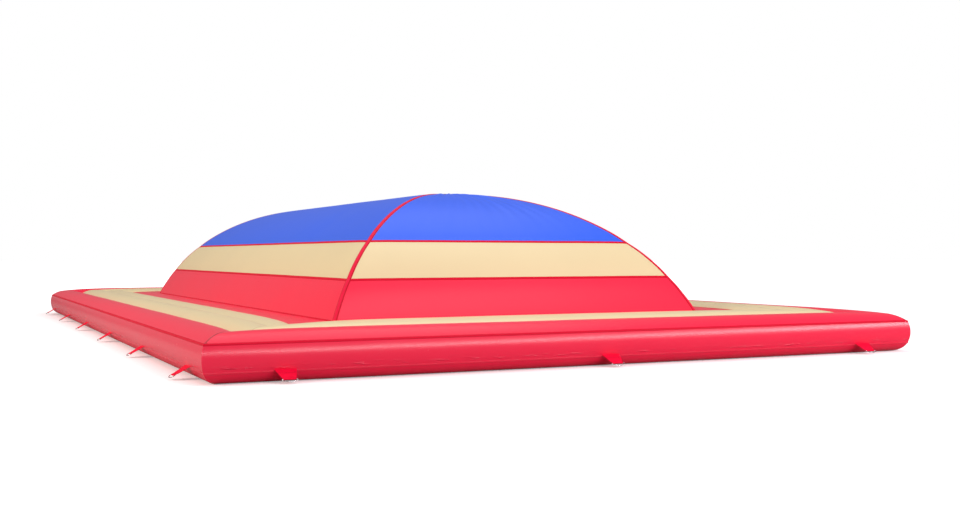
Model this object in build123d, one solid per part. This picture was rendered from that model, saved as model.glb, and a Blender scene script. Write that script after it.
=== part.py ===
"""Inflatable jumping mountain: a rectangular air mat with a hipped air dome and anchor rings.

Units are millimetres. The origin is on the floor under the middle of the mat.
X runs across the mat, Y along it and Z up. Front is -Y, left is -X.
"""
import os
from collections import namedtuple
from math import acos, atan2, cos, pi, radians, sin, sqrt

from build123d import *

# Overall sizes
mat_width = 9000.0
mat_length = 15000.0
skin = 4.0  # panel thickness, standing in for doubled coated fabric

# Border: section heights and how far each panel bows out of its chord
lower_seam_height = 110.0
upper_seam_height = 390.0
floor_turn_run = 160.0  # floor contact starts this far inside the seams
wall_bow = 25.0
crown_run = 500.0
crown_rise = 30.0  # from the upper seam to the deck's edge
crown_bow = 92.0

# Deck with one tied line along its middle, and the strip round the dome's foot
deck_width = 800.0
deck_tie_height = 492.0
deck_inner_height = 475.0
outer_lobe_bow = 66.0
inner_lobe_bow = 38.0
foot_height = 455.0
foot_strip_bow = 16.0

# Dome: one circular section all round, with a flat ridge
dome_radius = 2682.0
dome_centre_height = -556.0
ridge_half_width = 107.0
lower_band_height = 942.0
upper_band_height = 1415.0

# Seam tapes
seam_half_width = 9.0
seam_proud = 3.0
hip_half_width = 28.0
hip_proud = 2.0

# Anchor tabs and rings
side_tab_count = 6
end_tab_count = 3
side_tab_inset = 720.0
end_tab_inset = 790.0
tab_root_height = 130.0
tab_droop = 30.0  # degrees below level
tab_root_width = 230.0
tab_tip_clearance = 6.0  # strap's edge to the ring's legs
tab_reach = 170.0  # root line to the ring's bar
tab_wall_clearance = 0.2
ring_wire_radius = 4.0
ring_width = 154.0  # between wire centres
ring_depth = 44.0
ring_leg = 16.0  # straight part beside the bar
ring_corner = 8.0
loop_skin = 3.5
bar_clearance = 0.05

# Derived
tab_tip_width = ring_width - 2 * (ring_wire_radius + tab_tip_clearance)
crown_edge_height = upper_seam_height + crown_rise
deck_inner_run = crown_run + deck_width
tie_run = crown_run + deck_width / 2
hip_apex = (mat_length - mat_width) / 2  # the ridge's half length before its flat end
outside = 400.0  # how far trimming prisms reach past the mat
tall = 6000.0

Arc = namedtuple("Arc", "centre radius start end")


def bowed(start, end, bow):
    """Arc from start to end that stands `bow` off its chord, on the outer side."""
    run, rise = end[0] - start[0], end[1] - start[1]
    chord = sqrt(run**2 + rise**2)
    radius = (chord**2 / 4 + bow**2) / (2 * bow)
    inward = (rise / chord, -run / chord)
    reach = radius - bow
    centre = (
        (start[0] + end[0]) / 2 + inward[0] * reach,
        (start[1] + end[1]) / 2 + inward[1] * reach,
    )
    first = atan2(start[1] - centre[1], start[0] - centre[0])
    last = atan2(end[1] - centre[1], end[0] - centre[0])
    if last > first:
        first += 2 * pi
    return Arc(centre, radius, first, last)


def dome_arc(low, high):
    """Part of the dome's section between two heights."""
    centre = (mat_width / 2 - ridge_half_width, dome_centre_height)

    def angle(height):
        return pi / 2 + acos((height - dome_centre_height) / dome_radius)

    return Arc(centre, dome_radius, angle(low), angle(high))


def trimmed(arc, first, last):
    """The arc with a length taken off each end."""
    return Arc(arc.centre, arc.radius, arc.start - first / arc.radius, arc.end + last / arc.radius)


def at(arc, angle, depth=0.0):
    """Point on the arc at an angle, `depth` under its outer face."""
    reach = arc.radius - depth
    return (arc.centre[0] + reach * cos(angle), arc.centre[1] + reach * sin(angle))


def on_section(*points):
    """Section points (inward, up) as points in the XZ plane."""
    return [Vector(point[0], 0, point[1]) for point in points]


def panel_face(arc, proud=0.0):
    """Section of a panel: the arc given the skin's thickness."""
    middle = (arc.start + arc.end) / 2
    outer = on_section(*[at(arc, angle, -proud) for angle in (arc.start, middle, arc.end)])
    inner = on_section(*[at(arc, angle, skin) for angle in (arc.end, middle, arc.start)])
    edges = [
        ThreePointArc(*outer),
        Line(outer[2], inner[0]),
        ThreePointArc(*inner),
        Line(inner[2], outer[0]),
    ]
    return make_face(edges)


def crossing(first, second, depth):
    """Upper point where two arcs cross, both taken `depth` under their outer faces."""
    (x1, z1), (x2, z2) = first.centre, second.centre
    r1, r2 = first.radius - depth, second.radius - depth
    apart = sqrt((x2 - x1) ** 2 + (z2 - z1) ** 2)
    along = (r1**2 - r2**2 + apart**2) / (2 * apart)
    off = sqrt(r1**2 - along**2)
    step = ((x2 - x1) / apart, (z2 - z1) / apart)
    return (x1 + along * step[0] - off * step[1], z1 + along * step[1] + off * step[0])


def deck_face(first, second):
    """Section of the deck: two lobes meeting at the tied line."""
    tie_top = at(first, first.end)
    tie_under = crossing(first, second, skin)
    trim_a = trimmed(first, seam_half_width, 0)
    trim_b = trimmed(second, 0, seam_half_width)
    middle_a = (trim_a.start + trim_a.end) / 2
    middle_b = (trim_b.start + trim_b.end) / 2
    start, top_a, tie, top_b, end = on_section(
        at(trim_a, trim_a.start), at(trim_a, middle_a), tie_top, at(trim_b, middle_b), at(trim_b, trim_b.end)
    )
    start_in, under_a, tie_in, under_b, end_in = on_section(
        at(trim_a, trim_a.start, skin),
        at(trim_a, middle_a, skin),
        tie_under,
        at(trim_b, middle_b, skin),
        at(trim_b, trim_b.end, skin),
    )
    edges = [
        ThreePointArc(start, top_a, tie),
        ThreePointArc(tie, top_b, end),
        Line(end, end_in),
        ThreePointArc(end_in, under_b, tie_in),
        ThreePointArc(tie_in, under_a, start_in),
        Line(start_in, start),
    ]
    return make_face(edges)


def seam_face(before, after):
    """Section of the tape that fills the gap between two panels and stands a little proud."""
    outline = [
        at(before, before.end, skin),
        at(before, before.end, -seam_proud),
        at(after, after.start, -seam_proud),
        at(after, after.start, skin),
    ]
    return make_face(Polyline(*on_section(*outline), close=True))


# Plan outlines that mitre each side's panels at 45 degrees, held back by `gap` from the hip lines
def side_plan(gap):
    return Polygon(
        (-mat_width / 2 - outside, -mat_length / 2 - outside + gap),
        (0, -hip_apex + gap),
        (0, hip_apex - gap),
        (-mat_width / 2 - outside, mat_length / 2 + outside - gap),
        align=None,
    )


def end_plan(gap):
    return Polygon(
        (-mat_width / 2 - outside + gap, -mat_length / 2 - outside),
        (mat_width / 2 + outside - gap, -mat_length / 2 - outside),
        (0, -hip_apex - gap),
        align=None,
    )


def hip_plan(side_gap, end_gap):
    """The band along the front left hip line."""
    return Polygon(
        (-mat_width / 2 - outside, -mat_length / 2 - outside),
        (-mat_width / 2 - outside + end_gap, -mat_length / 2 - outside),
        (0, -hip_apex - end_gap),
        (0, -hip_apex + side_gap),
        (-mat_width / 2 - outside, -mat_length / 2 - outside + side_gap),
        align=None,
    )


def prism(plan):
    return Pos(0, 0, -tall / 2) * extrude(plan, tall)


def left_run(face):
    """A section run the whole length of the left side."""
    return Pos(-mat_width / 2, 0, 0) * extrude(face, mat_length / 2 + outside, dir=(0, 1, 0), both=True)


def front_run(face):
    """A section run the whole width of the front."""
    along_y = extrude(face, mat_width / 2 + outside, dir=(0, 1, 0), both=True)
    return Pos(0, -mat_length / 2, 0) * Rot(0, 0, 90) * along_y


def four_sides(face, gap=0.0):
    """The section on all four sides, mitred at the corners: left, right, front, back."""
    left = left_run(face) & prism(side_plan(gap))
    front = front_run(face) & prism(end_plan(gap))
    turned = Rot(0, 0, 180)
    return {"left": left, "right": turned * left, "front": front, "back": turned * front}


parts = {}


def keep_sides(name, face, gap=0.0):
    for side, solid in four_sides(face, gap).items():
        parts[f"{name}_{side}"] = solid


def keep_group(name, solids):
    parts[name] = Compound(children=[piece for solid in solids for piece in solid.solids()])


# Section of the border and deck, from the floor over the crown to the dome's foot
floor_radius = (floor_turn_run**2 + lower_seam_height**2) / (2 * lower_seam_height)
floor_chord = sqrt(floor_turn_run**2 + lower_seam_height**2)
floor_bow = floor_radius - sqrt(floor_radius**2 - floor_chord**2 / 4)
dome_foot = dome_arc(foot_height, lower_band_height)
foot_run = at(dome_foot, dome_foot.start)[0]

floor_turn = trimmed(bowed((floor_turn_run, 0), (0, lower_seam_height), floor_bow), 0, seam_half_width)
wall_full = bowed((0, lower_seam_height), (0, upper_seam_height), wall_bow)
wall = trimmed(wall_full, seam_half_width, seam_half_width)
crown_full = bowed((0, upper_seam_height), (crown_run, crown_edge_height), crown_bow)
crown = trimmed(crown_full, seam_half_width, seam_half_width)
lobe_outer = bowed((crown_run, crown_edge_height), (tie_run, deck_tie_height), outer_lobe_bow)
lobe_inner = bowed((tie_run, deck_tie_height), (deck_inner_run, deck_inner_height), inner_lobe_bow)
foot_full = bowed((deck_inner_run, deck_inner_height), (foot_run, foot_height), foot_strip_bow)
foot_strip = trimmed(foot_full, seam_half_width, seam_half_width)

# Floor sheet, turned up all round to the lower seam
flat = Pos(0, 0, skin / 2) * Box(mat_width - 2 * floor_turn_run, mat_length - 2 * floor_turn_run, skin)
turned_up = four_sides(panel_face(floor_turn))
parts["floor_sheet"] = flat + list(turned_up.values())

# Border and deck panels
keep_sides("side_wall", panel_face(wall))
keep_sides("crown", panel_face(crown))
keep_sides("deck", deck_face(lobe_outer, lobe_inner))
keep_sides("foot_strip", panel_face(foot_strip))

# Dome panels in three bands
hip_gap = hip_half_width * sqrt(2)
dome_top_height = dome_centre_height + dome_radius
red_band = trimmed(dome_foot, seam_half_width, seam_half_width)
beige_band = trimmed(dome_arc(lower_band_height, upper_band_height), seam_half_width, seam_half_width)
blue_band = trimmed(dome_arc(upper_band_height, dome_top_height), seam_half_width, 0)
keep_sides("red_band", panel_face(red_band), hip_gap)
keep_sides("beige_band", panel_face(beige_band), hip_gap)
keep_sides("blue_band", panel_face(blue_band), hip_gap)

# Seam tapes round the mat
deck_outer_end = trimmed(lobe_outer, seam_half_width, 0)
deck_inner_end = trimmed(lobe_inner, 0, seam_half_width)
for name, before, after in (
    ("lower_piping", floor_turn, wall),
    ("upper_piping", wall, crown),
    ("deck_outer_seam", crown, deck_outer_end),
    ("deck_inner_seam", deck_inner_end, foot_strip),
):
    keep_group(name, four_sides(seam_face(before, after)).values())

# Seam tapes on the dome, which stop at the hip tapes; the foot seam runs right round
keep_group("foot_seam", four_sides(seam_face(foot_strip, red_band)).values())
keep_group("lower_band_seam", four_sides(seam_face(red_band, beige_band), hip_gap).values())
keep_group("upper_band_seam", four_sides(seam_face(beige_band, blue_band), hip_gap).values())

# Hip tapes and the ridge tape
hip_section = panel_face(trimmed(dome_arc(foot_height, dome_top_height), seam_half_width, 0), hip_proud)
hip_left = left_run(hip_section) & prism(hip_plan(hip_gap, 0))
hip_front = front_run(hip_section) & prism(hip_plan(0, hip_gap))
hip = hip_left + hip_front
across = mirror(hip, about=Plane.YZ)
turned = Rot(0, 0, 180)
keep_group("hip_tapes", [hip, across, turned * hip, turned * across])
ridge_thickness = skin + hip_proud
ridge = Box(2 * ridge_half_width, 2 * (hip_apex + ridge_half_width), ridge_thickness)
parts["ridge_tape"] = Pos(0, 0, dome_top_height - skin + ridge_thickness / 2) * ridge


# Anchor tab and ring, pointing along +X from the wall's seam line, before they are placed
loop_bore = ring_wire_radius + bar_clearance
along_bar = Rot(90, 0, 0)
plate_plan = Polygon((-skin, -tab_root_width / 2), (tab_reach, -tab_tip_width / 2),
                     (tab_reach, tab_tip_width / 2), (-skin, tab_root_width / 2), align=None)
plate = Pos(0, 0, -skin / 2) * extrude(plate_plan, skin)
loop = Pos(tab_reach, 0, 0) * along_bar * Cylinder(loop_bore + loop_skin, tab_tip_width)
bore = Pos(tab_reach, 0, 0) * along_bar * Cylinder(loop_bore, tab_root_width)
drooped = Pos(0, 0, tab_root_height) * Rot(0, tab_droop, 0)
wall_round = Pos(-wall_full.centre[0], 0, wall_full.centre[1]) * along_bar * Cylinder(
    wall_full.radius + tab_wall_clearance, 2 * tab_root_width
)
tab = drooped * (plate + loop - bore) - wall_round

ring_outline = make_face([
    Line((0, -ring_width / 2), (0, ring_width / 2)),
    Line((0, ring_width / 2), (ring_leg, ring_width / 2)),
    ThreePointArc((ring_leg, ring_width / 2), (ring_depth, 0), (ring_leg, -ring_width / 2)),
    Line((ring_leg, -ring_width / 2), (0, -ring_width / 2)),
])
ring_path = fillet(ring_outline.vertices(), ring_corner).face().outer_wire()
ring_start = Plane(origin=ring_path @ 0, z_dir=ring_path % 0)
ring_flat = sweep(ring_start * Circle(ring_wire_radius), path=ring_path)
ring = drooped * Pos(tab_reach, 0, 0) * ring_flat


def stations(span, inset, count):
    """Evenly spaced positions centred on zero."""
    pitch = (span - 2 * inset) / (count - 1)
    return [-span / 2 + inset + pitch * index for index in range(count)]


side_places = stations(mat_length, side_tab_inset, side_tab_count)
end_places = stations(mat_width, end_tab_inset, end_tab_count)
places = []
for number, along in enumerate(side_places, 1):
    places.append((f"left_{number}", Pos(-mat_width / 2, along, 0) * Rot(0, 0, 180)))
    places.append((f"right_{number}", Pos(mat_width / 2, along, 0)))
for number, across_mat in enumerate(end_places, 1):
    places.append((f"front_{number}", Pos(across_mat, -mat_length / 2, 0) * Rot(0, 0, -90)))
    places.append((f"back_{number}", Pos(across_mat, mat_length / 2, 0) * Rot(0, 0, 90)))

keep_group("anchor_tabs", [place * tab for _, place in places])
for name, place in places:
    parts[f"ring_{name}"] = place * ring

os.makedirs("parts", exist_ok=True)
for name, shape in parts.items():
    export_step(shape, f"parts/{name}.step")
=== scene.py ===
import math

import bpy
import numpy as np
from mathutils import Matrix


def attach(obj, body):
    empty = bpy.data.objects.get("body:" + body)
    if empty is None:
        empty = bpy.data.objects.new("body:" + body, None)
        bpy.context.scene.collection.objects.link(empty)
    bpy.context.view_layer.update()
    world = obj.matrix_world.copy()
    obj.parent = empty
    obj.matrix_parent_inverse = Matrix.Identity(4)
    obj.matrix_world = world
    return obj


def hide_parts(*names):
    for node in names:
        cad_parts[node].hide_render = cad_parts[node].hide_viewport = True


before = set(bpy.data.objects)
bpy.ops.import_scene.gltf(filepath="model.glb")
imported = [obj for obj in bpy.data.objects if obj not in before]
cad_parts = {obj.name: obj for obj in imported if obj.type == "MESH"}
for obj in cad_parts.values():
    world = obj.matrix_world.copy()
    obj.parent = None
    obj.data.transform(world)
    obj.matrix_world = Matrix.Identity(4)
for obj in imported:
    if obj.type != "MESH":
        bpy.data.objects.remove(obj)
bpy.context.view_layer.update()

# Sizes of the mat, in metres. A run is measured inward from the border's seams.
SIDES = ("front", "right", "back", "left")
ENDS = ("front", "back")  # the two short sides
HALF_WIDTH = 4.5
HALF_LENGTH = 7.5
SKIN = 0.004
LOWER_SEAM = (0.0, 0.11)  # run and height
UPPER_SEAM = (0.0, 0.39)
DECK_EDGE = (0.50, 0.42)
DECK_TIE = (0.90, 0.492)
DECK_INNER_EDGE = (1.30, 0.475)
FLOOR_TURN_RUN = 0.16
FLOOR_TURN_BOW = 0.0302
WALL_BOW = 0.025
CROWN_BOW = 0.092
OUTER_LOBE_BOW = 0.066
INNER_LOBE_BOW = 0.038
FOOT_STRIP_BOW = 0.016
FOOT_HEIGHT = 0.455
LOWER_BAND_HEIGHT = 0.942
UPPER_BAND_HEIGHT = 1.415
DOME_RADIUS = 2.682
DOME_CENTRE = (4.393, -0.556)
RIDGE_HALF_WIDTH = 0.107
HIP_HALF_WIDTH = 0.031


# ---------- Section of the mat: one line from the floor up to the ridge ----------

def bowed_arc(start, end, bow, steps=60):
    """Points and outward normals of an arc from start to end that stands bow off its chord."""
    (u0, z0), (u1, z1) = start, end
    chord = math.hypot(u1 - u0, z1 - z0)
    radius = (chord**2 / 4 + bow**2) / (2 * bow)
    inward = ((z1 - z0) / chord, -(u1 - u0) / chord)
    cu = (u0 + u1) / 2 + inward[0] * (radius - bow)
    cz = (z0 + z1) / 2 + inward[1] * (radius - bow)
    first = math.atan2(z0 - cz, u0 - cu)
    last = math.atan2(z1 - cz, u1 - cu)
    if last > first:
        first += 2 * math.pi
    angle = np.linspace(first, last, steps)
    normal = np.stack([np.cos(angle), np.sin(angle)], 1)
    return normal * radius + (cu, cz), normal


def dome_angle(height):
    """Angle of the dome's section at a height."""
    return math.pi / 2 + math.acos(min(1, (height - DOME_CENTRE[1]) / DOME_RADIUS))


def dome_arc(low, high, steps=80):
    """Points and outward normals of the dome's section between two heights."""
    angle = np.linspace(dome_angle(low), dome_angle(high), steps)
    normal = np.stack([np.cos(angle), np.sin(angle)], 1)
    return normal * DOME_RADIUS + DOME_CENTRE, normal


def flat_run(start, end, steps=12):
    """Points and upward normals of a level run."""
    along = np.linspace(0, 1, steps)[:, None]
    points = np.array(start) * (1 - along) + np.array(end) * along
    return points, np.tile((0.0, 1.0), (steps, 1))


DOME_FOOT = (DOME_CENTRE[0] - math.sqrt(DOME_RADIUS**2 - (FOOT_HEIGHT - DOME_CENTRE[1]) ** 2), FOOT_HEIGHT)
DOME_TOP = DOME_CENTRE[1] + DOME_RADIUS
STRETCHES = [
    ("floor_turn", bowed_arc((FLOOR_TURN_RUN, 0.0), LOWER_SEAM, FLOOR_TURN_BOW)),
    ("wall", bowed_arc(LOWER_SEAM, UPPER_SEAM, WALL_BOW)),
    ("crown", bowed_arc(UPPER_SEAM, DECK_EDGE, CROWN_BOW)),
    ("deck_outer", bowed_arc(DECK_EDGE, DECK_TIE, OUTER_LOBE_BOW)),
    ("deck_inner", bowed_arc(DECK_TIE, DECK_INNER_EDGE, INNER_LOBE_BOW)),
    ("foot_strip", bowed_arc(DECK_INNER_EDGE, DOME_FOOT, FOOT_STRIP_BOW)),
    ("red_band", dome_arc(FOOT_HEIGHT, LOWER_BAND_HEIGHT)),
    ("beige_band", dome_arc(LOWER_BAND_HEIGHT, UPPER_BAND_HEIGHT)),
    ("blue_band", dome_arc(UPPER_BAND_HEIGHT, DOME_TOP)),
    ("ridge", flat_run((DOME_CENTRE[0], DOME_TOP), (HALF_WIDTH, DOME_TOP))),
]


def joined_section():
    """The stretches as one line: distance along it, points, normals, and each stretch's ends."""
    distances, points, normals, ends = [], [], [], {}
    travelled = 0.0
    for stretch, (stretch_points, stretch_normals) in STRETCHES:
        steps = np.hypot(*np.diff(stretch_points, axis=0).T)
        t = travelled + np.concatenate([[0], np.cumsum(steps)])
        ends[stretch] = (t[0], t[-1])
        distances.append(t[:-1])
        points.append(stretch_points[:-1])
        normals.append(stretch_normals[:-1])
        travelled = t[-1]
    distances.append([travelled])
    points.append(stretch_points[-1:])
    normals.append(stretch_normals[-1:])
    return np.concatenate(distances), np.concatenate(points), np.concatenate(normals), ends


section_t, section_p, section_n, reach = joined_section()
SEAMS = {name: reach[name][0] for name in ("wall", "crown", "deck_outer", "foot_strip", "red_band",
                                           "beige_band", "blue_band")}
TIE = reach["deck_inner"][0]


def middle_of(stretch):
    """Distance along the section to the middle of one stretch."""
    return sum(reach[stretch]) / 2


def half_side(side):
    """Half the length of one side of the mat."""
    return HALF_WIDTH if side in ENDS else HALF_LENGTH


def run_at(t):
    return np.interp(t, section_t, section_p[:, 0])


def height_at(t):
    return np.interp(t, section_t, section_p[:, 1])


SEAM_ROUNDING = 0.02  # how far to each side of a seam the normals turn


def smooth_normals(t):
    """Outward normals, turned gently from one stretch to the next."""
    total = np.zeros((len(t), 2))
    for shift in np.linspace(-SEAM_ROUNDING, SEAM_ROUNDING, 9):
        total += np.stack([np.interp(t + shift, section_t, section_n[:, k]) for k in (0, 1)], 1)
    return total / np.linalg.norm(total, axis=1)[:, None]


# ---------- How the air-filled skin swells, pinches and puckers ----------

CROWN_SWELL = {"front": 0.016, "right": 0.016, "back": 0.040, "left": 0.016}
CROWN_CORNER_DROP = 0.004
LOBE_SWELL = 0.006
WALL_SWELL = 0.004
DECK_EDGE_SINK = 0.020
DECK_INNER_SINK = 0.042
BAND_SEAM_PULL = {"beige_band": 0.004, "blue_band": 0.005}
HIP_PINCH = 0.008
PUCKER_DEPTH = {"wall": 0.0007, "crown": 0.0003, "tie": 0.0014, "foot_strip": 0.0008}
OTHER_PUCKER_DEPTH = 0.0005
PUCKER_WAVE = 0.9
SLOW_WAVE = 5.0
SLOW_WAVE_DEPTH = 0.0012
RIDGE_CREASE_DEPTH = 0.009
RIPPLES = ((1.0, 0.5), (1.73, 0.35), (2.61, 0.3), (4.19, 0.22), (6.7, 0.15))  # rate and weight


def ripple(along, scale, seed):
    """Uneven waves along a seam, the same on every run."""
    waves = np.zeros_like(along)
    for k, (rate, weight) in enumerate(RIPPLES):
        waves += weight * np.sin(along * rate * 2 * math.pi / scale + seed * (1.7 + k * 2.3))
    return waves


def fading(distance, over):
    """1 at no distance, dying away over a length."""
    return np.exp(-distance / over)


def hump(t, middle, width):
    """1 at the middle, dying away on both sides over a width."""
    return np.exp(-(((t - middle) / width) ** 2))


def rising(t, start, over):
    """0 up to the start, then rising to 1 over a length."""
    return np.clip((t - start) / over, 0, 1)


def swell(side, t, s):
    """How far the skin stands off its plain section."""
    u = run_at(t)
    along = s * (half_side(side) - u)
    to_corner = (1 - np.abs(s)) * (half_side(side) - u)
    seed = SIDES.index(side) + 1
    away = 1 - fading(to_corner, over=0.35)
    # The crown stands fuller between the corners than at them, and most of all at the back
    off = (CROWN_SWELL[side] * away - CROWN_CORNER_DROP) * hump(t, middle_of("crown"), width=0.20)
    lobes = rising(t, SEAMS["deck_outer"], over=0.25) * np.clip((SEAMS["red_band"] - t) / 0.7, 0, 1)
    off += lobes * LOBE_SWELL * away
    # The deck sinks towards its corners, most of all along its inner seam
    sink_places = (SEAMS["crown"] + 0.2, SEAMS["deck_outer"], SEAMS["foot_strip"], SEAMS["red_band"] - 0.1)
    sink = np.interp(t, sink_places, (0.0, DECK_EDGE_SINK, DECK_INNER_SINK, 0.0))
    off -= sink * fading(to_corner, over=0.40)
    off += hump(t, middle_of("wall"), width=0.11) * WALL_SWELL * away
    # Dome seams pull in, and so do the hips
    for name, depth in BAND_SEAM_PULL.items():
        off -= depth * hump(t, SEAMS[name], width=0.11)
    off -= rising(t, SEAMS["red_band"], over=0.3) * HIP_PINCH * fading(to_corner, over=0.14)
    # Puckers that start at the seams and die away
    for k, (name, place) in enumerate(list(SEAMS.items()) + [("tie", TIE)]):
        depth = PUCKER_DEPTH.get(name, OTHER_PUCKER_DEPTH)
        fade = fading(np.abs(t - place), over=0.10) * (1 - fading(to_corner, over=0.2))
        off += depth * fade * ripple(along, PUCKER_WAVE, seed + 3 * k)
    # Slow waves of a soft skin
    slanted = along + 0.7 * t
    off += (1 - fading(to_corner, over=0.5)) * SLOW_WAVE_DEPTH * ripple(slanted, SLOW_WAVE, seed * 2 + 1)
    # Creases that fan out from the ridge's two ends
    if side in ENDS:
        below = reach["blue_band"][1] - t
        fan = rising(below, 0, over=0.25) * fading(below, over=0.65) * (below < 2.0) * (1 - np.abs(s) ** 4)
        wide_folds = np.sin(17 * s + 2.0 * below)
        fine_folds = np.sin(47 * s + 5.0 * below + 1.0)
        off += RIDGE_CREASE_DEPTH * fan * (wide_folds + 0.8 * fine_folds)
    return off * rising(t, reach["wall"][0], over=0.05)


def skin(side, t, s, lift=0.0):
    """Point of the outer skin: t runs up the section, s from corner to corner (-1 to 1)."""
    t = np.asarray(t, float)
    normal = smooth_normals(t)
    off = swell(side, t, s) + lift
    u = run_at(t) + normal[:, 0] * off
    z = height_at(t) + normal[:, 1] * off
    along = s * (half_side(side) - u)
    out = (HALF_LENGTH if side in ENDS else HALF_WIDTH) - u
    x, y = {
        "front": (along, -out),
        "right": (out, along),
        "back": (-along, out),
        "left": (-out, -along),
    }[side]
    return np.stack([x, y, z], 1)


# ---------- Modelling helpers ----------

def clear_selection():
    if bpy.context.object and bpy.context.object.mode != "OBJECT":
        bpy.ops.object.mode_set(mode="OBJECT")
    bpy.ops.object.select_all(action="DESELECT")


def select_only(piece):
    clear_selection()
    piece.select_set(True)
    bpy.context.view_layer.objects.active = piece


def grid(name, columns, rows):
    """A flat grid from -1 to 1 both ways, ready to be laid on the mat."""
    clear_selection()
    bpy.ops.mesh.primitive_grid_add(x_subdivisions=columns, y_subdivisions=rows, size=2, calc_uvs=False)
    piece = bpy.context.object
    piece.name = name
    piece.data.name = name
    return piece


def side_columns(side):
    """Columns of a grid that runs along one side of the mat."""
    return 230 if side in ENDS else 380


def vertices(piece):
    flat = np.empty(len(piece.data.vertices) * 3)
    piece.data.vertices.foreach_get("co", flat)
    return flat.reshape(-1, 3)


def lay(piece, points):
    piece.data.vertices.foreach_set("co", points.astype(float).ravel())
    piece.data.update()


def share(values):
    """Turns -1 to 1 across a grid into 0 to 1."""
    return (values + 1) / 2


def write_uv(piece, per_vertex):
    """UV map in metres of cloth: first along the seam, then across the panel."""
    layer = piece.data.uv_layers.new(name="cut")
    index = np.empty(len(piece.data.loops), dtype=np.int64)
    piece.data.loops.foreach_get("vertex_index", index)
    layer.data.foreach_set("uv", per_vertex[index].astype(float).ravel())


def write_value(piece, name, per_vertex):
    layer = piece.data.attributes.new(name, "FLOAT", "POINT")
    layer.data.foreach_set("value", per_vertex.astype(float))


def thicken(piece, thickness, offset=-1):
    """Gives a skin its thickness, inward unless told otherwise, and smooth shading."""
    select_only(piece)
    solidify = piece.modifiers.new("cloth thickness", "SOLIDIFY")
    solidify.thickness = thickness
    solidify.offset = offset
    bpy.ops.object.modifier_apply(modifier=solidify.name)
    bpy.ops.object.shade_smooth_by_angle(angle=math.radians(40))


def join(pieces, name, merge=True):
    clear_selection()
    for piece in pieces:
        piece.select_set(True)
    bpy.context.view_layer.objects.active = pieces[0]
    bpy.ops.object.join()
    whole = bpy.context.object
    whole.name = name
    whole.data.name = name
    if merge:
        bpy.ops.object.mode_set(mode="EDIT")
        bpy.ops.mesh.select_all(action="SELECT")
        bpy.ops.mesh.remove_doubles(threshold=0.0002)
        bpy.ops.object.mode_set(mode="OBJECT")
    return whole


def finish_piece(piece, material, nodes):
    piece.data.materials.clear()
    piece.data.materials.append(material)
    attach(piece, "mat")
    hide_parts(*nodes)


# ---------- Shader helpers ----------

def linear(red, green, blue):
    """Turns a colour as it looks on a screen into the linear colour that a shader takes."""
    channels = (c / 12.92 if c <= 0.04045 else ((c + 0.055) / 1.055) ** 2.4 for c in (red, green, blue))
    return tuple(channels) + (1.0,)


def shaded(colour, gain, lift=0.0):
    """A linear colour made darker or paler."""
    return tuple(min(1.0, c * gain + lift) for c in colour[:3]) + (1.0,)


def put(tree, value, socket):
    """Links another node's output to a socket, or sets a plain value on it."""
    if hasattr(value, "is_output"):
        tree.links.new(value, socket)
    else:
        socket.default_value = value


def math_node(tree, operation, first, second=None, clamp=False):
    node = tree.nodes.new("ShaderNodeMath")
    node.operation = operation
    node.use_clamp = clamp
    put(tree, first, node.inputs[0])
    if second is not None:
        put(tree, second, node.inputs[1])
    return node.outputs[0]


def times(tree, first, second):
    return math_node(tree, "MULTIPLY", first, second)


def plus(tree, first, second):
    return math_node(tree, "ADD", first, second)


def dying_away(tree, distance, over):
    """1 at no distance, dying away over a length."""
    return math_node(tree, "POWER", math.e, times(tree, math_node(tree, "DIVIDE", distance, over), -1.0))


def above(tree, value, threshold, steepness):
    """0 up to a threshold, then rising to 1."""
    past = math_node(tree, "SUBTRACT", value, threshold)
    return math_node(tree, "MULTIPLY", past, steepness, clamp=True)


def distance_from(tree, value, place):
    return math_node(tree, "ABSOLUTE", math_node(tree, "SUBTRACT", value, place))


def dashes(tree, along, pitch, threshold):
    """1 on each stitch of a row and 0 in the gaps."""
    wave = math_node(tree, "SINE", times(tree, along, 2 * math.pi / pitch))
    return math_node(tree, "GREATER_THAN", wave, threshold)


def mix_colour(tree, factor, first, second):
    node = tree.nodes.new("ShaderNodeMix")
    node.data_type = "RGBA"
    for socket, value in ((node.inputs[0], factor), (node.inputs[6], first), (node.inputs[7], second)):
        put(tree, value, socket)
    return node.outputs[2]


def noise(tree, vector, scale, detail=3.0, rough=0.5):
    node = tree.nodes.new("ShaderNodeTexNoise")
    put(tree, scale, node.inputs["Scale"])
    node.inputs["Detail"].default_value = detail
    node.inputs["Roughness"].default_value = rough
    tree.links.new(vector, node.inputs["Vector"])
    return node.outputs["Fac"]


def stretched(tree, vector, scale):
    node = tree.nodes.new("ShaderNodeMapping")
    node.inputs["Scale"].default_value = scale
    tree.links.new(vector, node.inputs["Vector"])
    return node.outputs[0]


def bump(tree, height, distance, strength, normal=None):
    node = tree.nodes.new("ShaderNodeBump")
    node.inputs["Distance"].default_value = distance
    node.inputs["Strength"].default_value = strength
    tree.links.new(height, node.inputs["Height"])
    if normal is not None:
        tree.links.new(normal, node.inputs["Normal"])
    return node.outputs["Normal"]


def cut_map(tree):
    """UV map of the cut cloth, in metres."""
    node = tree.nodes.new("ShaderNodeUVMap")
    node.uv_map = "cut"
    return node.outputs["UV"]


def object_place(tree):
    return tree.nodes.new("ShaderNodeTexCoord").outputs["Object"]


def split_up(tree, vector):
    """The three parts of a vector."""
    node = tree.nodes.new("ShaderNodeSeparateXYZ")
    tree.links.new(vector, node.inputs[0])
    return node.outputs


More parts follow.
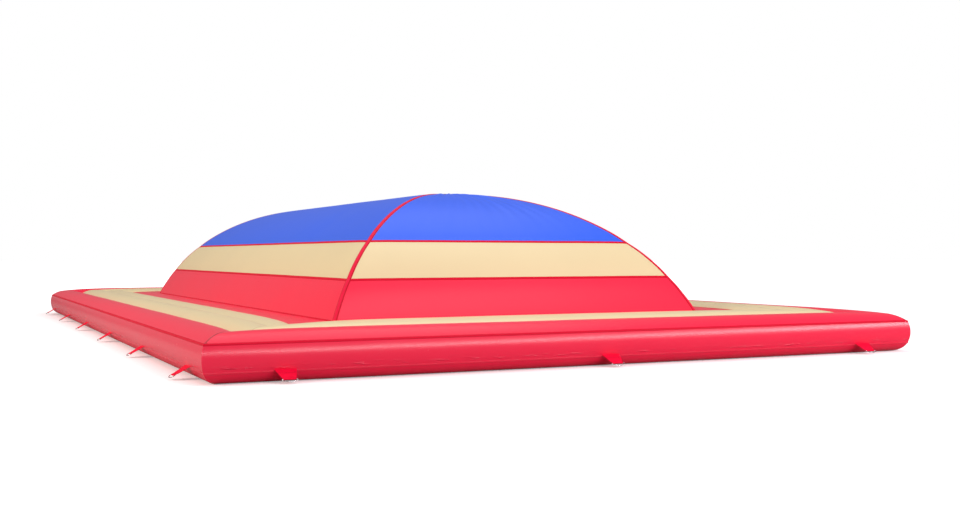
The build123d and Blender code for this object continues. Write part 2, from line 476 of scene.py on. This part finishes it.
def new_group(name, inputs, outputs):
    """An empty shader group. Its inputs are label, kind and value, and its outputs are numbers."""
    tree = bpy.data.node_groups.new(name, "ShaderNodeTree")
    for label, kind, value in inputs:
        socket = tree.interface.new_socket(label, in_out="INPUT", socket_type=kind)
        if value is not None:
            socket.default_value = value
    for label in outputs:
        tree.interface.new_socket(label, in_out="OUTPUT", socket_type="NodeSocketFloat")
    return tree, tree.nodes.new("NodeGroupInput").outputs, tree.nodes.new("NodeGroupOutput").inputs


def use_group(tree, group, **values):
    """Places a group in a material and returns its outputs."""
    node = tree.nodes.new("ShaderNodeGroup")
    node.node_tree = group
    for label, value in values.items():
        put(tree, value, node.inputs[label])
    return node.outputs


def blank_material(name):
    material = bpy.data.materials.new(name)
    material.use_nodes = True
    tree = material.node_tree
    return material, tree, tree.nodes["Principled BSDF"]


# ---------- Effects that several materials share ----------

def build_coated_weave():
    """Uneven warp and weft of the base cloth, faint through the coating: height."""
    tree, inside, outside = new_group(
        "coated weave",
        [("Cut", "NodeSocketVector", None), ("Threads", "NodeSocketFloat", 260.0)],
        ["Height"],
    )
    warp, weft = (
        noise(tree, stretched(tree, inside["Cut"], run), inside["Threads"], detail=1.0)
        for run in ((0.12, 1.0, 1.0), (1.0, 0.12, 1.0))
    )
    tree.links.new(times(tree, plus(tree, warp, weft), 0.5), outside["Height"])
    return tree


def build_seam_puckers():
    """Short wrinkles square to a seam, fading away from it: height."""
    tree, inside, outside = new_group(
        "seam puckers",
        [("Cut", "NodeSocketVector", None), ("Edge", "NodeSocketFloat", 1.0),
         ("Reach", "NodeSocketFloat", 0.08)],
        ["Height"],
    )
    cut = stretched(tree, inside["Cut"], (14.0, 2.2, 1.0))
    folds = noise(tree, cut, scale=1.0, detail=3.0, rough=0.55)
    fade = dying_away(tree, inside["Edge"], inside["Reach"])
    tree.links.new(times(tree, folds, fade), outside["Height"])
    return tree


def build_weld_creases():
    """Short level creases in a narrow band at one height of a panel: height."""
    tree, inside, outside = new_group(
        "weld creases",
        [("Cut", "NodeSocketVector", None), ("Band", "NodeSocketFloat", 0.03)],
        ["Height"],
    )
    cut = stretched(tree, inside["Cut"], (5.0, 34.0, 1.0))
    folds = noise(tree, cut, scale=1.0, detail=2.0, rough=0.5)
    few = above(tree, folds, threshold=0.56, steepness=5.0)
    off_band = distance_from(tree, split_up(tree, inside["Cut"])[1], inside["Band"])
    band = math_node(tree, "SUBTRACT", 1.0, math_node(tree, "DIVIDE", off_band, 0.035), clamp=True)
    tree.links.new(times(tree, few, band), outside["Height"])
    return tree


def build_wear_and_seam_shade():
    """Patchy fading, small dark scuffs, and painted shade that darkens the cloth towards its seams: masks.
    """
    tree, inside, outside = new_group(
        "wear and seam shade",
        [("Place", "NodeSocketVector", None), ("Edge", "NodeSocketFloat", 1.0)],
        ["Patches", "Scuffs", "Seam Shade"],
    )
    broad = noise(tree, inside["Place"], scale=0.9, detail=3.0, rough=0.5)
    tree.links.new(broad, outside["Patches"])
    fine = noise(tree, inside["Place"], scale=11.0, detail=5.0, rough=0.65)
    tree.links.new(above(tree, fine, threshold=0.70, steepness=14.0), outside["Scuffs"])
    # Painted shade: darkest at a seam, dying away over 3 cm from it.
    tree.links.new(dying_away(tree, inside["Edge"], over=0.030), outside["Seam Shade"])
    return tree


coated_weave = build_coated_weave()
seam_puckers = build_seam_puckers()
weld_creases = build_weld_creases()
wear_and_seam_shade = build_wear_and_seam_shade()


# ---------- Materials ----------

RED = linear(0.98, 0.11, 0.27)
DARK_RED = linear(0.66, 0.01, 0.10)
BEIGE = linear(0.92, 0.84, 0.66)
DARK_BEIGE = linear(0.78, 0.66, 0.48)
BLUE = linear(0.16, 0.38, 0.95)
DARK_BLUE = linear(0.12, 0.20, 0.62)
TAPE_RED = linear(0.88, 0.0, 0.18)
# Rim colours of the tapes: a darker red as painted shade along the tapes' edges.
TAPE_RIM_SHADE_RED = linear(0.80, 0.0, 0.15)
WALL_TAPE_RIM_SHADE_RED = linear(0.95, 0.09, 0.25)
HIP_TAPE_RED = linear(0.93, 0.12, 0.28)
HIP_TAPE_RIM_SHADE_RED = linear(0.78, 0.0, 0.14)
STRAP_DEEP_RED = linear(0.97, 0.01, 0.20)
STRAP_RED = linear(1.0, 0.05, 0.26)
STRAP_THREAD_RED = linear(0.62, 0.02, 0.10)
STEEL = (0.78, 0.79, 0.80, 1)
DULL_STEEL = (0.62, 0.62, 0.62, 1)


SCUFF_TINT = 0.22
SEAM_TINT = 0.75
SCUFF_DULLNESS = 0.15
PATCH_DULLNESS = 0.06


def coated_cloth(name, colour, seam_colour, roughness=0.34, seam_width=0.010, pucker=0.002, creases=0.0,
                 seam_shade=0.12, specular=0.32):
    """Glossy coated cloth with welded edges."""
    material, tree, shader = blank_material(name)
    cut = cut_map(tree)
    edge_node = tree.nodes.new("ShaderNodeAttribute")
    edge_node.attribute_name = "edge"
    edge = edge_node.outputs["Fac"]
    wear_and_shade_masks = use_group(tree, wear_and_seam_shade, Place=object_place(tree), Edge=edge)
    fold = use_group(tree, seam_puckers, Cut=cut, Edge=edge, Reach=0.09)
    weave = use_group(tree, coated_weave, Cut=cut, Threads=260.0)
    weld = use_group(tree, weld_creases, Cut=cut, Band=0.045)

    faded = shaded(colour, 1.03, 0.003)
    deep = shaded(colour, 0.97)
    # Darker colour for the scuffs, and for the painted shade towards the seams.
    grime_and_shade = shaded(colour, 0.55)
    base = mix_colour(tree, wear_and_shade_masks["Patches"], deep, faded)
    base = mix_colour(tree, times(tree, wear_and_shade_masks["Scuffs"], SCUFF_TINT), base, grime_and_shade)
    # Painted shade: the cloth is mixed towards the darker colour near its seams and corners.
    base = mix_colour(tree, times(tree, wear_and_shade_masks["Seam Shade"], seam_shade), base, grime_and_shade)
    on_seam = math_node(tree, "LESS_THAN", edge, seam_width)
    base = mix_colour(tree, times(tree, on_seam, SEAM_TINT), base, seam_colour)
    tree.links.new(base, shader.inputs["Base Color"])

    dull = plus(tree, times(tree, wear_and_shade_masks["Patches"], PATCH_DULLNESS), roughness - PATCH_DULLNESS / 2)
    dull = plus(tree, dull, times(tree, wear_and_shade_masks["Scuffs"], SCUFF_DULLNESS))
    tree.links.new(dull, shader.inputs["Roughness"])
    shader.inputs["Specular IOR Level"].default_value = specular

    height = plus(tree, fold["Height"], times(tree, weld["Height"], creases))
    folds = bump(tree, height, distance=pucker, strength=0.9)
    threads = bump(tree, weave["Height"], distance=0.0002, strength=0.4, normal=folds)
    tree.links.new(threads, shader.inputs["Normal"])
    return material


BLOTCH_TINT = 0.3
BLOTCH_DULLNESS = 0.12
TAPE_SHADED_RIM = 0.62  # share of the half width where the darker rim of painted shade starts
TAPE_STITCH_ROW = 0.72
TAPE_STITCH_WIDTH = 0.07
STITCH_PITCH = 0.012  # metres


def welded_tape(name, colour, rim_shade_colour, half_width, roughness=0.5, specular=0.12):
    """Tape welded over a seam: paler along its middle, with stitched rims that are painted darker as
    shade.
    """
    material, tree, shader = blank_material(name)
    cut = cut_map(tree)
    along, across = split_up(tree, cut)[:2]
    out = math_node(tree, "DIVIDE", math_node(tree, "ABSOLUTE", across), half_width)
    # Painted shade: the rims take the darker colour. Blotches of it below are the tape's own uneven tone.
    base = mix_colour(tree, above(tree, out, TAPE_SHADED_RIM, steepness=12.0), colour, rim_shade_colour)
    blotch = noise(tree, object_place(tree), scale=6.0)
    base = mix_colour(tree, times(tree, blotch, BLOTCH_TINT), base, rim_shade_colour)
    tree.links.new(base, shader.inputs["Base Color"])
    dull = plus(tree, times(tree, blotch, BLOTCH_DULLNESS), roughness - BLOTCH_DULLNESS / 2)
    tree.links.new(dull, shader.inputs["Roughness"])
    shader.inputs["Specular IOR Level"].default_value = specular
    stitch_row = math_node(tree, "LESS_THAN", distance_from(tree, out, TAPE_STITCH_ROW), TAPE_STITCH_WIDTH)
    stitches = times(tree, dashes(tree, along, STITCH_PITCH, threshold=-0.3), stitch_row)
    weave = use_group(tree, coated_weave, Cut=cut, Threads=330.0)
    height = plus(tree, times(tree, weave["Height"], 0.2), stitches)
    tree.links.new(bump(tree, height, distance=0.0008, strength=0.7), shader.inputs["Normal"])
    return material


def plated_steel(name):
    """Bright plated wire with fine drawing marks and dull spots."""
    material, tree, shader = blank_material(name)
    place = object_place(tree)
    marks = noise(tree, place, scale=900.0, detail=2.0)
    dull = noise(tree, place, scale=60.0, detail=4.0)
    tree.links.new(mix_colour(tree, dull, STEEL, DULL_STEEL), shader.inputs["Base Color"])
    shader.inputs["Metallic"].default_value = 1.0
    tree.links.new(plus(tree, times(tree, dull, 0.25), 0.10), shader.inputs["Roughness"])
    tree.links.new(bump(tree, marks, distance=0.0001, strength=0.25), shader.inputs["Normal"])
    return material


STRAP_STITCH_ROWS = (0.060, 0.068, 0.142, 0.150)  # metres out from the wall
STRAP_STITCH_WIDTH = 0.0012
STRAP_STITCH_PITCH = 0.006


def strap_cloth(name):
    """Red strap with rows of stitches where it is doubled."""
    material, tree, shader = blank_material(name)
    cut = cut_map(tree)
    across, out = split_up(tree, cut)[:2]
    weave = use_group(tree, coated_weave, Cut=cut, Threads=420.0)
    rows = None
    for distance in STRAP_STITCH_ROWS:
        row = math_node(tree, "LESS_THAN", distance_from(tree, out, distance), STRAP_STITCH_WIDTH)
        rows = row if rows is None else math_node(tree, "MAXIMUM", rows, row)
    stitches = times(tree, rows, dashes(tree, across, STRAP_STITCH_PITCH, threshold=-0.35))
    shade = noise(tree, object_place(tree), scale=9.0)
    base = mix_colour(tree, shade, STRAP_DEEP_RED, STRAP_RED)
    base = mix_colour(tree, stitches, base, STRAP_THREAD_RED)
    tree.links.new(base, shader.inputs["Base Color"])
    tree.links.new(plus(tree, times(tree, shade, 0.15), 0.55), shader.inputs["Roughness"])
    shader.inputs["Specular IOR Level"].default_value = 0.08
    height = plus(tree, weave["Height"], times(tree, stitches, 1.5))
    tree.links.new(bump(tree, height, distance=0.0006, strength=0.6), shader.inputs["Normal"])
    return material


red_cloth = coated_cloth("red coated cloth", RED, DARK_RED)
wall_cloth = coated_cloth("red wall cloth", RED, DARK_RED, roughness=0.25, seam_width=0.0, creases=4.5,
                          seam_shade=0.0, specular=0.42)
beige_cloth = coated_cloth("beige coated cloth", BEIGE, DARK_BEIGE, seam_width=0.004)
blue_cloth = coated_cloth("blue coated cloth", BLUE, DARK_BLUE, roughness=0.38, pucker=0.004)
red_tape = welded_tape("red seam tape", TAPE_RED, TAPE_RIM_SHADE_RED, 0.018)
wall_tape = welded_tape("wall seam tape", RED, WALL_TAPE_RIM_SHADE_RED, 0.012, roughness=0.3, specular=0.5)
hip_tape_finish = welded_tape("hip tape", HIP_TAPE_RED, HIP_TAPE_RIM_SHADE_RED, HIP_HALF_WIDTH)
ring_steel = plated_steel("plated ring steel")
strap_red = strap_cloth("red strap")


# ---------- Panels ----------

CORNER_CROWDING = 1.12  # over 1 sets a grid's columns closer together near the corners


def panel(name, side, first, last, rows, material, nodes):
    """One cut of coated cloth, laid on the section between two seams and given its thickness."""
    piece = grid(name, side_columns(side), rows)
    flat = vertices(piece)
    t_first, t_last = reach[first][0], reach[last][1]
    t = t_first + share(flat[:, 1]) * (t_last - t_first)
    s = np.sign(flat[:, 0]) * (1 - (1 - np.abs(flat[:, 0])) ** CORNER_CROWDING)
    lay(piece, skin(side, t, s))
    half_seam = half_side(side) - run_at(t)
    write_uv(piece, np.stack([s * half_seam, t - t_first], 1))
    to_corner = half_seam * (1 - np.abs(s)) / math.sqrt(2)
    edge = np.minimum(np.minimum(t - t_first, t_last - t), to_corner)
    write_value(piece, "edge", edge)
    thicken(piece, SKIN)
    finish_piece(piece, material, nodes)


PANELS = [
    # label, first and last stretch, rows of the grid, material, slot
    ("side_wall", "wall", "wall", 14, wall_cloth, "red_coated_fabric"),
    ("crown", "crown", "crown", 14, red_cloth, "red_coated_fabric"),
    ("deck", "deck_outer", "deck_inner", 40, beige_cloth, "beige_coated_fabric"),
    ("foot_strip", "foot_strip", "foot_strip", 18, red_cloth, "red_coated_fabric"),
    ("red_band", "red_band", "red_band", 18, red_cloth, "red_coated_fabric"),
    ("beige_band", "beige_band", "beige_band", 18, beige_cloth, "beige_coated_fabric"),
    ("blue_band", "blue_band", "blue_band", 50, blue_cloth, "blue_coated_fabric"),
]
for label, first, last, rows, material, slot in PANELS:
    for side in SIDES:
        node = f"{label}_{side}"
        panel(f"{node}_cloth", side, first, last, rows, material, [node])


# ---------- Floor sheet ----------

def floor_sheet():
    """Flat sheet with its edges turned up to the lower seam."""
    sides = []
    for side in SIDES:
        piece = grid("floor_turn", columns=120, rows=10)
        flat = vertices(piece)
        t_first, t_last = reach["floor_turn"]
        t = t_first + share(flat[:, 1]) * (t_last - t_first)
        lay(piece, skin(side, t, flat[:, 0]))
        sides.append(piece)
    middle = grid("floor_middle", columns=2, rows=2)
    flat = vertices(middle)
    x = flat[:, 0] * (HALF_WIDTH - FLOOR_TURN_RUN)
    y = -flat[:, 1] * (HALF_LENGTH - FLOOR_TURN_RUN)
    lay(middle, np.stack([x, y, flat[:, 2] * 0], 1))
    whole = join(sides + [middle], "floor_sheet_cloth")
    points = vertices(whole)
    write_uv(whole, points[:, :2])
    write_value(whole, "edge", np.full(len(points), 0.5))
    thicken(whole, SKIN)
    finish_piece(whole, red_cloth, ["floor_sheet"])


floor_sheet()


# ---------- Seam tapes ----------

TAPE_THICKNESS = 0.0015
TAPE_ROWS = 6
TAPE_OFFSETS = np.array([-1.0, -0.8, -0.45, 0.0, 0.45, 0.8, 1.0])
TAPE_LIFTS = np.array([0.0005, 0.0018, 0.0028, 0.0032, 0.0028, 0.0018, 0.0005])
HIP_START = 0.012  # how far above the foot seam the hip tapes begin
HIP_LIFT = 0.0036
HIP_RIM_DROP = 0.0028
RIDGE_THICKNESS = 0.002
RIDGE_LIFT = 0.0022
RIDGE_CROWN = 0.002
RIDGE_PATTERN = 0.31  # fits the hip tape's pattern to the wider ridge tape


def ring_tape(name, place, half_width, nodes, corner_gap=0.0, material=red_tape):
    """Tape over a seam that runs round the mat on all four sides."""
    sides = []
    for side in SIDES:
        piece = grid("tape_side", side_columns(side), TAPE_ROWS)
        flat = vertices(piece)
        grid_rows = np.linspace(-1, 1, TAPE_ROWS + 1)
        offset = np.interp(flat[:, 1], grid_rows, TAPE_OFFSETS)
        lift = np.interp(flat[:, 1], grid_rows, TAPE_LIFTS)
        half_seam = half_side(side) - run_at(place)
        end = 1 - corner_gap / half_seam
        lay(piece, skin(side, place + offset * half_width, flat[:, 0] * end, lift))
        write_uv(piece, np.stack([flat[:, 0] * half_seam, offset * half_width], 1))
        sides.append(piece)
    whole = join(sides, name)
    thicken(whole, TAPE_THICKNESS)
    finish_piece(whole, material, nodes)


ring_tape("lower_piping_tape", SEAMS["wall"], 0.012, ["lower_piping"], material=wall_tape)
ring_tape("upper_piping_tape", SEAMS["crown"], 0.015, ["upper_piping"])
ring_tape("deck_outer_tape", SEAMS["deck_outer"], 0.012, ["deck_outer_seam"])
ring_tape("deck_inner_tape", SEAMS["foot_strip"], 0.012, ["deck_inner_seam"])
ring_tape("foot_tape", SEAMS["red_band"], 0.016, ["foot_seam"])
ring_tape("lower_band_tape", SEAMS["beige_band"], 0.018, ["lower_band_seam"], corner_gap=0.046)
ring_tape("upper_band_tape", SEAMS["blue_band"], 0.020, ["upper_band_seam"], corner_gap=0.046)


def hip_tapes():
    """Wide tapes up the four hips."""
    foot, top = reach["red_band"][0], reach["blue_band"][1]
    hips = []
    for index, side in enumerate(SIDES):
        following = SIDES[(index + 1) % 4]
        piece = grid("hip", columns=12, rows=160)
        flat = vertices(piece)
        t = foot + HIP_START + share(flat[:, 1]) * (top - foot - HIP_START)
        across = flat[:, 0] * HIP_HALF_WIDTH
        lift = HIP_LIFT - HIP_RIM_DROP * np.abs(flat[:, 0]) ** 4
        points = np.empty((len(t), 3))
        for near_side, sign, pick in ((side, 1, across <= 0), (following, -1, across > 0)):
            half_seam = half_side(near_side) - run_at(t[pick])
            s = sign * (1 - math.sqrt(2) * np.abs(across[pick]) / half_seam)
            points[pick] = skin(near_side, t[pick], s, lift[pick])
        lay(piece, points)
        write_uv(piece, np.stack([t, across], 1))
        thicken(piece, TAPE_THICKNESS)
        hips.append(piece)
    whole = join(hips, "hip_tape_set", merge=False)
    finish_piece(whole, hip_tape_finish, ["hip_tapes"])


def ridge_tape():
    """Flat tape along the ridge, which the hip tapes run into."""
    ridge = grid("ridge_tape_cloth", columns=6, rows=120)
    flat = vertices(ridge)
    x = flat[:, 0] * RIDGE_HALF_WIDTH
    y = flat[:, 1] * (HALF_LENGTH - DOME_CENTRE[0])
    z = np.full(len(x), DOME_TOP + RIDGE_LIFT) + RIDGE_CROWN * (1 - np.abs(flat[:, 0]) ** 3)
    lay(ridge, np.stack([x, y, z], 1))
    write_uv(ridge, np.stack([y, x * RIDGE_PATTERN], 1))
    thicken(ridge, RIDGE_THICKNESS)
    finish_piece(ridge, hip_tape_finish, ["ridge_tape"])


hip_tapes()
ridge_tape()


# ---------- Anchor tabs and rings ----------

TAB_REACH = 0.170  # from the wall seams' plane to the ring's bar
TAB_ROOT_HEIGHT = 0.130
TAB_DROOP = math.radians(30)
TAB_ROOT_HALF_WIDTH = 0.115
TAB_TIP_HALF_WIDTH = 0.0655
TAB_ROOT_STEP = 0.004  # points nearer the wall seams' plane than this move out by as much
TAB_SAG = 0.0025
STRAP_THICKNESS = 0.0020
STRAP_LAYER = 0.0011  # from the tab's middle plane to the middle of one layer
STRAP_ROOT = -0.002  # where the upper layer starts, out from the wall seams' plane
UNDER_ROOT = 0.05  # where the under layer ends, out from the same plane
UNDER_SHARE = 0.62  # of the strap's length; past this it is the under layer
UNDER_NARROWER = 0.0015
RING_LOOP = 0.0052  # from the bar's axis to the middle of the strap round it
LOOP_RUN = 0.020  # over which the two layers part to go round the bar
LOOP_MOUTH = 0.25  # radians
SIDE_TAB_END = 6.78  # from the middle of a side to its last tab
SIDE_TAB_COUNT = 6
END_TAB_END = 3.71
END_TAB_COUNT = 3


def strap_path(steps):
    """Middle line of a strap that goes out to the ring's bar, round it and back under itself."""
    loop_start = TAB_REACH - LOOP_RUN
    straight = np.linspace(STRAP_ROOT, loop_start, 14)
    top = [(x, STRAP_LAYER) for x in straight]
    spread = [(loop_start + LOOP_RUN * k, STRAP_LAYER + (RING_LOOP - STRAP_LAYER) * (3 * k**2 - 2 * k**3))
              for k in np.linspace(0.15, 1.0, 6)]
    turn = [(TAB_REACH + RING_LOOP * math.sin(a), RING_LOOP * math.cos(a))
            for a in np.linspace(LOOP_MOUTH, math.pi - LOOP_MOUTH, 12)]
    back = [(x, -z) for x, z in reversed(spread)]
    under = [(x, -STRAP_LAYER) for x in straight[::-1] if x > UNDER_ROOT]
    line = np.array(top + spread + turn + back + under)
    run = np.concatenate([[0], np.cumsum(np.hypot(*np.diff(line, axis=0).T))])
    even = np.linspace(0, 1, steps)
    return even, np.stack([np.interp(even * run[-1], run, line[:, k]) for k in (0, 1)], 1)


def tab_at(name, turn, place):
    """One doubled strap, tapered from the wall to its ring."""
    piece = grid(name, columns=14, rows=64)
    flat = vertices(piece)
    even, line = strap_path(200)
    travel = share(flat[:, 1])
    x = np.interp(travel, even, line[:, 0])
    z = np.interp(travel, even, line[:, 1])
    out = np.clip(x / TAB_REACH, 0, 1)
    half = TAB_ROOT_HALF_WIDTH - (TAB_ROOT_HALF_WIDTH - TAB_TIP_HALF_WIDTH) * out
    half = np.where(travel > UNDER_SHARE, half - UNDER_NARROWER, half)
    y = flat[:, 0] * half
    z = z - TAB_SAG * (1 - (np.abs(flat[:, 0])) ** 2) * np.sin(out * math.pi)
    write_uv(piece, np.stack([y, x], 1))
    drooped_x = x * math.cos(TAB_DROOP) + z * math.sin(TAB_DROOP)
    drooped_z = TAB_ROOT_HEIGHT - x * math.sin(TAB_DROOP) + z * math.cos(TAB_DROOP)
    drooped_x = np.where(x < TAB_ROOT_STEP, drooped_x + TAB_ROOT_STEP, drooped_x)
    world_x = place[0] + drooped_x * math.cos(turn) - y * math.sin(turn)
    world_y = place[1] + drooped_x * math.sin(turn) + y * math.cos(turn)
    lay(piece, np.stack([world_x, world_y, drooped_z], 1))
    thicken(piece, STRAP_THICKNESS, offset=0)
    return piece


def evenly_spaced(end, count):
    """Places from -end to end."""
    return [-end + step * 2 * end / (count - 1) for step in range(count)]


tab_places = []
for along in evenly_spaced(SIDE_TAB_END, SIDE_TAB_COUNT):
    tab_places += [(math.pi, (-HALF_WIDTH, along)), (0.0, (HALF_WIDTH, along))]
for along in evenly_spaced(END_TAB_END, END_TAB_COUNT):
    tab_places += [(-math.pi / 2, (along, -HALF_LENGTH)), (math.pi / 2, (along, HALF_LENGTH))]
tabs = [tab_at(f"anchor_tab_{number}", turn, place) for number, (turn, place) in enumerate(tab_places, 1)]
tab_set = join(tabs, "anchor_tab_set", merge=False)
finish_piece(tab_set, strap_red, ["anchor_tabs"])

# The rings keep the shape that they have in the frame and get their finish
for name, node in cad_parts.items():
    if name.startswith("ring_"):
        node.data.materials.clear()
        node.data.materials.append(ring_steel)


# ---------- Floor, light and camera ----------

FLOOR_DROP = 0.002  # keeps the floor just clear of the sheet on it
FLOOR_GREY = (0.46, 0.46, 0.46, 1)  # what lights the mat from below
FLOOR_PALE = (0.92, 0.91, 0.93, 1)  # what the camera sees
NEAR_GLOW = 0.28
FAR_GLOW = 0.9
GLOW_START = 8.0  # metres from the mat's middle
GLOW_RUN = 16.0
WORLD_LIGHT = 0.33
WORLD_SEEN = 0.67  # added where the camera sees the world, which makes it white
WHITE = (1, 1, 1, 1)
LAMPS = [
    # name, place, aim, size, power, colour
    ("key light", (7, -21, 19), (0, 0, 0.8), (16, 8), 1400, (0.90, 0.92, 1.0)),
    ("front strip light", (8, -19.5, 4.2), (0.5, -7.5, 0.3), (22, 1.0), 1500, (1.0, 0.95, 1.0)),
    ("top light", (0, 0, 18), (0, 0, 0), (16, 22), 1600, (1.0, 1.0, 1.0)),
    ("side light", (-22, -4, 8), (0, 0, 0.5), (16, 6), 2600, (1.0, 0.90, 0.76)),
]
CAMERA_PLACE = (-6.783, -18.169, 1.229)
CAMERA_TILT = math.radians(89.977)
CAMERA_TURN = math.radians(-25.847)
CAMERA_LENS = 42.31875  # millimetres, on a sensor 36 wide


def pale_floor():
    clear_selection()
    bpy.ops.mesh.primitive_plane_add(size=400, location=(0, 0, -FLOOR_DROP))
    floor = bpy.context.object
    floor.name = "studio_floor"
    material, tree, shader = blank_material("pale floor")
    shader.inputs["Roughness"].default_value = 0.9
    shader.inputs["Specular IOR Level"].default_value = 0.1
    shader.inputs["Emission Color"].default_value = WHITE
    seen = tree.nodes.new("ShaderNodeLightPath").outputs["Is Camera Ray"]
    tree.links.new(mix_colour(tree, seen, FLOOR_GREY, FLOOR_PALE), shader.inputs["Base Color"])
    distance = tree.nodes.new("ShaderNodeVectorMath")
    distance.operation = "LENGTH"
    tree.links.new(object_place(tree), distance.inputs[0])
    past = math_node(tree, "SUBTRACT", distance.outputs["Value"], GLOW_START)
    far = math_node(tree, "DIVIDE", past, GLOW_RUN, clamp=True)
    glow = plus(tree, times(tree, far, FAR_GLOW), NEAR_GLOW)
    tree.links.new(times(tree, seen, glow), shader.inputs["Emission Strength"])
    floor.data.materials.append(material)


def soft_light(name, place, aim, size, power, colour):
    clear_selection()
    bpy.ops.object.light_add(type="AREA", location=place)
    lamp = bpy.context.object
    lamp.name = name
    lamp.data.shape = "RECTANGLE"
    lamp.data.size, lamp.data.size_y = size
    lamp.data.energy = power
    lamp.data.color = colour
    x, y, z = np.array(aim, float) - np.array(place, float)
    lamp.rotation_euler = (math.atan2(math.hypot(x, y), -z), 0, math.atan2(y, x) - math.pi / 2)


def studio():
    world = bpy.data.worlds.new("studio")
    bpy.context.scene.world = world
    world.use_nodes = True
    tree = world.node_tree
    background = tree.nodes["Background"]
    background.inputs["Color"].default_value = WHITE
    ray = tree.nodes.new("ShaderNodeLightPath").outputs
    seen = math_node(tree, "MAXIMUM", ray["Is Camera Ray"], ray["Is Transmission Ray"])
    tree.links.new(plus(tree, times(tree, seen, WORLD_SEEN), WORLD_LIGHT), background.inputs["Strength"])
    for lamp in LAMPS:
        soft_light(*lamp)


def camera():
    clear_selection()
    bpy.ops.object.camera_add(location=CAMERA_PLACE, rotation=(CAMERA_TILT, 0, CAMERA_TURN))
    view = bpy.context.object
    view.data.sensor_width = 36
    view.data.lens = CAMERA_LENS
    view.data.clip_end = 500
    bpy.context.scene.camera = view


pale_floor()
studio()
camera()
bpy.context.scene.view_settings.view_transform = "Standard"
